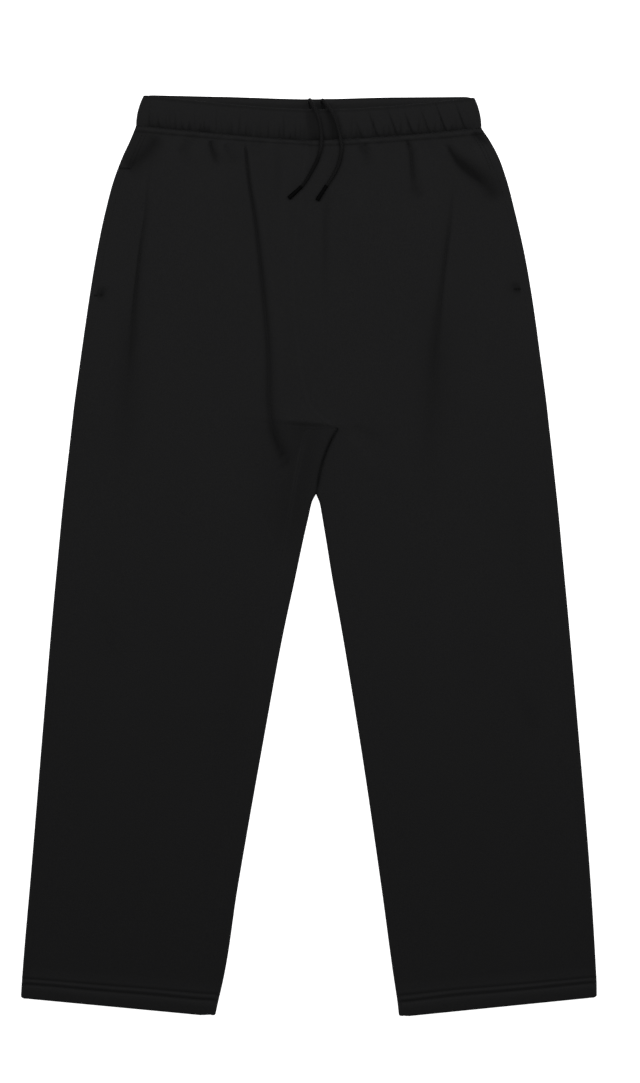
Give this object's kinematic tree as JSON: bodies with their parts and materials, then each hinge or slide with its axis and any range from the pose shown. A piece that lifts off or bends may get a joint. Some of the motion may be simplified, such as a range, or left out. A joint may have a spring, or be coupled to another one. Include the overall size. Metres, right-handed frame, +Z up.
{
  "type": "track pants",
  "caption": "Loose straight-leg fleece track pants laid flat on their back, with a gathered waistband, side pockets, stitched hems and a drawcord.",
  "frame": {"origin": "under the middle of the garment, on the surface that it lies on", "axes": "+Y from the hems to the waist, +Z up out of the front of the garment, +X to the wearer's left"},
  "size_m": [0.6623, 1.0552, 0.0211],
  "materials": {
    "fleece": "matt brushed-back cotton fleece, near black",
    "pocketing": "thin matt cotton, near black",
    "cord": "round braided cotton cord, black",
    "tip": "satin black"
  },
  "bodies": {
    "root": {"waistband": "fleece", "front_panel_right": "fleece", "front_panel_left": "fleece", "back_panel_right": "fleece", "back_panel_left": "fleece", "pocket_bag_right": "pocketing", "pocket_bag_left": "pocketing", "drawcord_right": "cord", "drawcord_left": "cord", "cord_tip_right": "tip", "cord_tip_left": "tip"}
  },
  "joints": []
}
